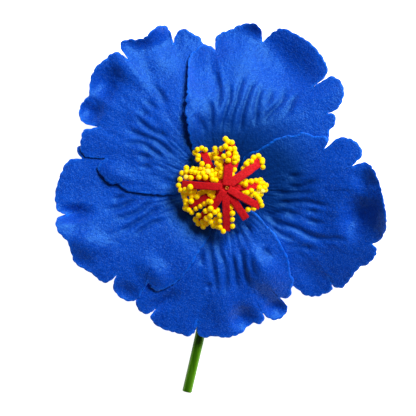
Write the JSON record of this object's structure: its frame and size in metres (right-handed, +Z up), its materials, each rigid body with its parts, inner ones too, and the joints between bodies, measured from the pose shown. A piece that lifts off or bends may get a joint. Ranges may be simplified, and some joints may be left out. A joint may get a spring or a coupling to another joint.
{
  "type": "artificial hibiscus flower",
  "caption": "Cut artificial hibiscus of moulded foam: overlapping ruffled petals round a beaded stamen column, on a coated wire stem, lying face up.",
  "frame": {"origin": "on the surface the flower lies on, under the middle of its outline seen from above", "axes": "+Z up out of the flower's face, -Y along the stem to its cut end, +X to the right of the flower seen from above with the stem towards the viewer"},
  "size_m": [0.0993, 0.1116, 0.0204],
  "materials": {
    "petal_foam": "blue moulded closed-cell foam, fine grain, satin",
    "stamen_foam": "red foam strips set with small glossy yellow beads",
    "calyx_plastic": "green, satin",
    "stem_plastic": "green, glossy",
    "wire_steel": "bare drawn wire"
  },
  "bodies": {
    "root": {"petal_top": "petal_foam", "petal_top_left": "petal_foam", "petal_left": "petal_foam", "petal_bottom": "petal_foam", "petal_right": "petal_foam", "stamen_column": "stamen_foam", "calyx": "calyx_plastic", "stem_coat": "stem_plastic", "stem_wire": "wire_steel"}
  },
  "joints": []
}
